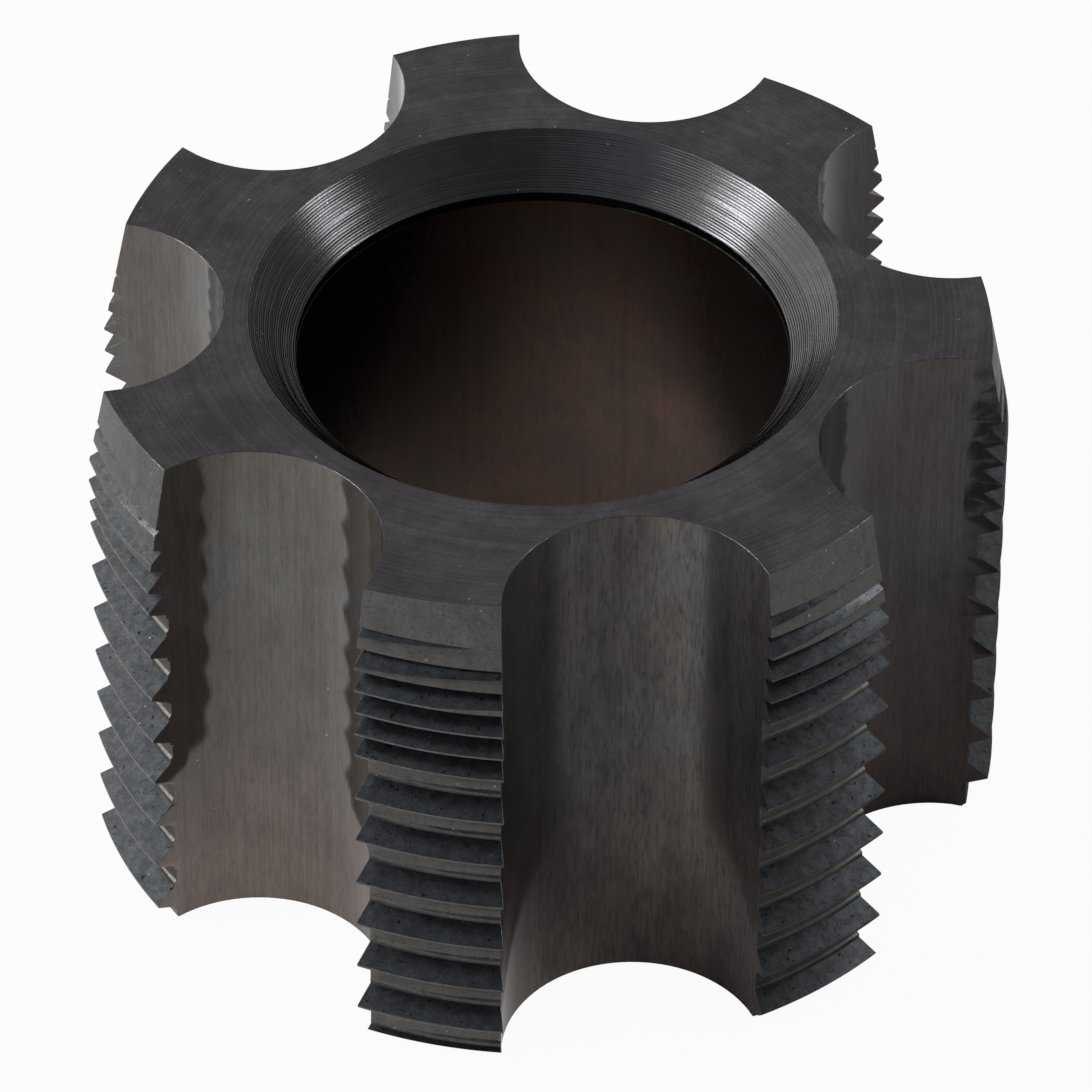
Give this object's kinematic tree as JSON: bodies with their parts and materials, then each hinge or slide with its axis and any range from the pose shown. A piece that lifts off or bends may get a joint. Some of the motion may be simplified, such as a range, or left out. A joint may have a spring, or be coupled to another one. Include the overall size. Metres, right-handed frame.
{
  "type": "bottom bracket tap",
  "caption": "Hollow thread-cutting tap for a bicycle bottom bracket shell: fluted ring of tool steel with a relieved lead and an interrupted left-hand thread.",
  "frame": {"origin": "on the tap's axis at its back face, the one that it stands on", "axes": "+Z along the axis towards the front, where cutting starts; -Y towards the viewer of the picture"},
  "size_m": [0.0342, 0.0348, 0.0224],
  "materials": {
    "tool_steel": "blackened and ground, with bright worn edges"
  },
  "bodies": {
    "root": {"bottom_bracket_tap": "tool_steel"}
  },
  "joints": []
}
